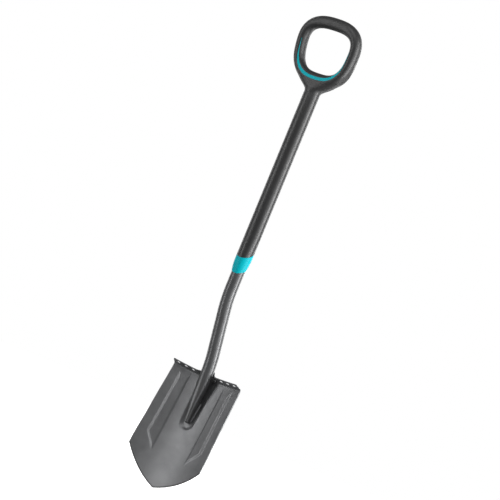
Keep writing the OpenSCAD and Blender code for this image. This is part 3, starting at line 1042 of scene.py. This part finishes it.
def make_floor():
    """Plain pale floor just under the tip."""
    bpy.ops.mesh.primitive_circle_add(vertices=96, radius=FLOOR_R, fill_type="NGON",
                                      location=(0, 0, cad_low.z - FLOOR_DROP))
    floor = bpy.context.object
    floor.name = "floor"
    material = bpy.data.materials.new("pale_ground")
    material.use_nodes = True
    shader = material.node_tree.nodes["Principled BSDF"]
    shader.inputs["Base Color"].default_value = (0.9, 0.9, 0.9, 1)
    shader.inputs["Roughness"].default_value = 0.9
    shader.inputs["Emission Color"].default_value = (1, 1, 1, 1)
    shader.inputs["Emission Strength"].default_value = 0.85
    floor.data.materials.append(material)
    floor.visible_diffuse = False
    floor.visible_glossy = False
    floor.visible_shadow = False


def make_world():
    """White behind the spade for the camera, and a dimmer even light on it."""
    world = bpy.data.worlds.new("studio")
    bpy.context.scene.world = world
    world.use_nodes = True
    tree = world.node_tree
    tree.nodes.clear()
    output = tree.nodes.new("ShaderNodeOutputWorld")
    swap = tree.nodes.new("ShaderNodeMixShader")
    ray = tree.nodes.new("ShaderNodeLightPath")
    tree.links.new(ray.outputs["Is Camera Ray"], swap.inputs["Fac"])
    for socket, strength in ((1, ROOM_LIGHT), (2, BACKDROP_LIGHT)):
        light = tree.nodes.new("ShaderNodeBackground")
        light.inputs["Color"].default_value = (1, 1, 1, 1)
        light.inputs["Strength"].default_value = strength
        tree.links.new(light.outputs[0], swap.inputs[socket])
    tree.links.new(swap.outputs[0], output.inputs[0])


def soft_box(name, azimuth, distance, height, width, tall, power):
    """Rectangular lamp at an azimuth from the front, aimed at the middle of the spade."""
    lamp = bpy.data.lights.new(name, "AREA")
    lamp.shape = "RECTANGLE"
    lamp.size, lamp.size_y = width, tall
    lamp.energy = power
    obj = bpy.data.objects.new(name, lamp)
    a = radians(azimuth)
    obj.location = (distance * sin(a), -distance * cos(a), height)
    to_spade = Vector((0, 0, LIGHT_AIM_Z)) - obj.location
    obj.rotation_euler = to_spade.to_track_quat("-Z", "Y").to_euler()
    obj.visible_camera = False
    bpy.context.scene.collection.objects.link(obj)


def make_lights():
    for name, azimuth, distance, width, power in SIDE_BOXES:
        soft_box(name, azimuth, distance, SIDE_HEIGHT, width, SIDE_TALL, power)
    soft_box("top_front", azimuth=5, distance=1.5, height=2.6, width=1.2, tall=1.2, power=18)


def make_camera():
    """Long lens from the front and a little to +X, rolled so that the shaft leans to the right."""
    camera = bpy.data.cameras.new("camera")
    camera.lens = LENS
    camera.sensor_width = 36
    camera.shift_x, camera.shift_y = LENS_SHIFT
    camera.clip_end = 50
    obj = bpy.data.objects.new("camera", camera)
    place = Vector((VIEW_DISTANCE * sin(VIEW_YAW), AIM.y - VIEW_DISTANCE * cos(VIEW_YAW), VIEW_HEIGHT))
    ahead = (AIM - place).normalized()
    right = ahead.cross(Vector((0, 0, 1))).normalized()
    up = right.cross(ahead)
    side = cos(VIEW_ROLL) * right + sin(VIEW_ROLL) * up
    top = cos(VIEW_ROLL) * up - sin(VIEW_ROLL) * right
    turn = Matrix((side, top, -ahead)).transposed()
    obj.matrix_world = Matrix.Translation(place) @ turn.to_4x4()
    bpy.context.scene.collection.objects.link(obj)
    bpy.context.scene.camera = obj


def finish_plain_nodes():
    """Better materials on the CAD pieces whose shape is right."""
    for node, material, slot in (("tube_plug", plug_plastic, "plug_plastic"),
                                 ("handle_screw", screw_zinc, "zinc")):
        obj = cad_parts[node]
        obj.data.materials.clear()
        obj.data.materials.append(material)


bpy.context.scene.view_settings.view_transform = "Standard"
make_camera()
make_world()
make_lights()
make_floor()
make_blade()
make_tube()
make_welds()
make_collar()
make_sleeve()
make_inlay(make_handle())
finish_plain_nodes()
